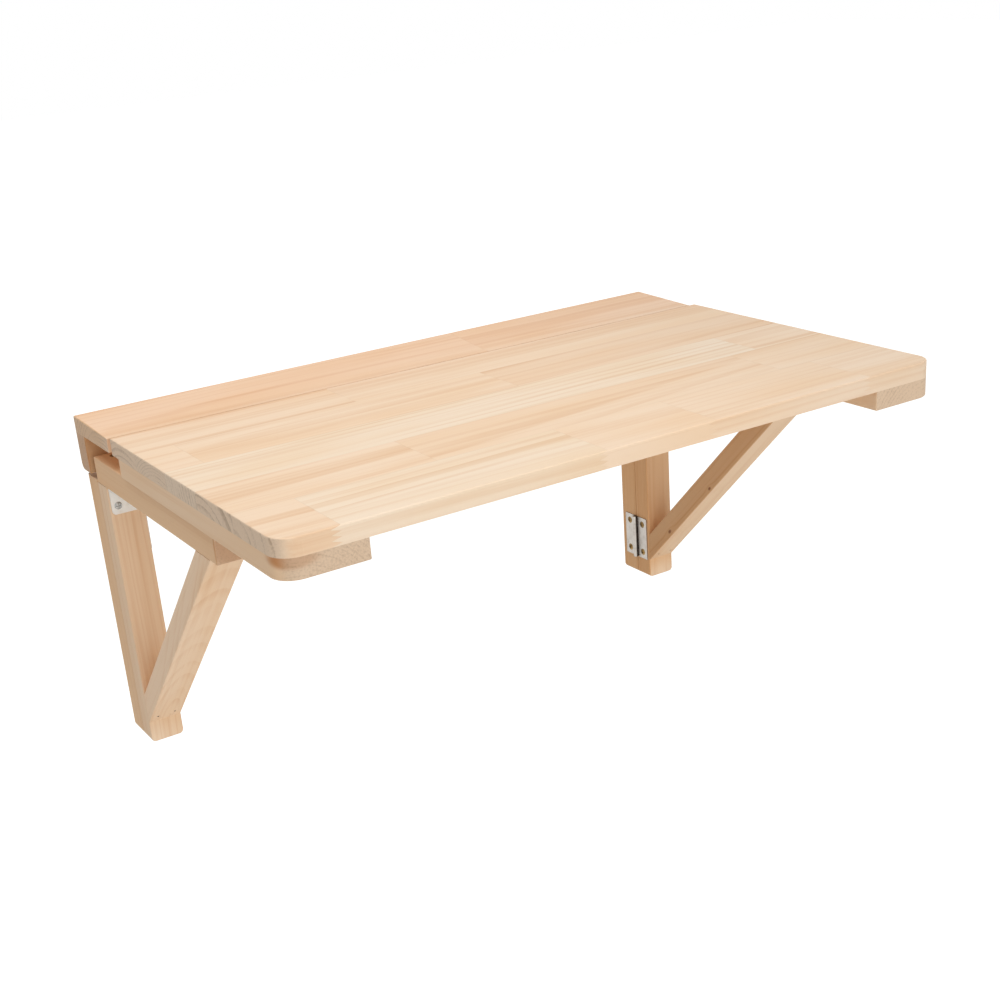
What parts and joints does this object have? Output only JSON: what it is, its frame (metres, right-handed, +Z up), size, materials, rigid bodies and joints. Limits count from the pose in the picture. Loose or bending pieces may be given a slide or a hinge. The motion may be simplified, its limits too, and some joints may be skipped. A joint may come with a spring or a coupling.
{
  "type": "wall mounted drop leaf table",
  "caption": "Wall mounted drop leaf table in pale pine: a hinged leaf on battens, a fixed rear strip on a wall rail, and folding triangular swing brackets.",
  "frame": {"origin": "middle of the back face of the wall rail, on the wall plane", "axes": "+X along the wall to the right seen from the room, +Y into the wall, +Z up"},
  "size_m": [0.6, 0.4, 0.2952],
  "materials": {
    "pine": "sanded pale pine, edge glued and finger jointed",
    "dowel_beech": "plain beech dowel",
    "hinge_steel": "bright rolled steel",
    "screw_zinc": "yellow zinc plated steel",
    "white_steel": "white powder coat"
  },
  "bodies": {
    "wall_unit": {"wall_rail": "pine", "fixed_strip": "pine", "rail_dowels": "dowel_beech", "left_leaf_hinge_strip_plate": "hinge_steel", "left_leaf_hinge_pin": "hinge_steel", "middle_leaf_hinge_strip_plate": "hinge_steel", "middle_leaf_hinge_pin": "hinge_steel", "right_leaf_hinge_strip_plate": "hinge_steel", "right_leaf_hinge_pin": "hinge_steel", "strip_hinge_screws": "screw_zinc", "left_wall_post": "pine", "left_post_hinge_screws": "screw_zinc", "left_upper_hinge_post_plate": "hinge_steel", "left_upper_hinge_pin": "hinge_steel", "left_lower_hinge_post_plate": "hinge_steel", "left_lower_hinge_pin": "hinge_steel", "right_wall_post": "pine", "right_post_hinge_screws": "screw_zinc", "right_upper_hinge_post_plate": "hinge_steel", "right_upper_hinge_pin": "hinge_steel", "right_lower_hinge_post_plate": "hinge_steel", "right_lower_hinge_pin": "hinge_steel"},
    "leaf": {"leaf_panel": "pine", "left_batten": "pine", "right_batten": "pine", "batten_screws": "screw_zinc", "leaf_hinge_screws": "screw_zinc", "left_leaf_hinge_leaf_plate": "hinge_steel", "middle_leaf_hinge_leaf_plate": "hinge_steel", "right_leaf_hinge_leaf_plate": "hinge_steel"},
    "left_bracket": {"left_swing_post": "pine", "left_arm": "pine", "left_brace": "pine", "left_arm_screw": "screw_zinc", "left_brace_brads": "hinge_steel", "left_corner_brace": "white_steel", "left_corner_brace_screws": "hinge_steel", "left_swing_hinge_screws": "screw_zinc", "left_upper_hinge_swing_plate": "hinge_steel", "left_lower_hinge_swing_plate": "hinge_steel"},
    "right_bracket": {"right_swing_post": "pine", "right_arm": "pine", "right_brace": "pine", "right_arm_screw": "screw_zinc", "right_brace_brads": "hinge_steel", "right_corner_brace": "white_steel", "right_corner_brace_screws": "hinge_steel", "right_swing_hinge_screws": "screw_zinc", "right_upper_hinge_swing_plate": "hinge_steel", "right_lower_hinge_swing_plate": "hinge_steel"}
  },
  "joints": [
    {"name": "leaf_lift", "type": "hinge", "parent": "wall_unit", "child": "leaf", "pos_m": [0, -0.08625, 0.014], "axis": [-1, 0, 0], "range_deg": [0, 15]},
    {"name": "left_bracket_swing", "type": "hinge", "parent": "wall_unit", "child": "left_bracket", "pos_m": [-0.2645, -0.02625, 0], "axis": [0, 0, 1], "range_deg": [0, 90]},
    {"name": "right_bracket_swing", "type": "hinge", "parent": "wall_unit", "child": "right_bracket", "pos_m": [0.2645, -0.02625, 0], "axis": [0, 0, -1], "range_deg": [0, 90]}
  ]
}
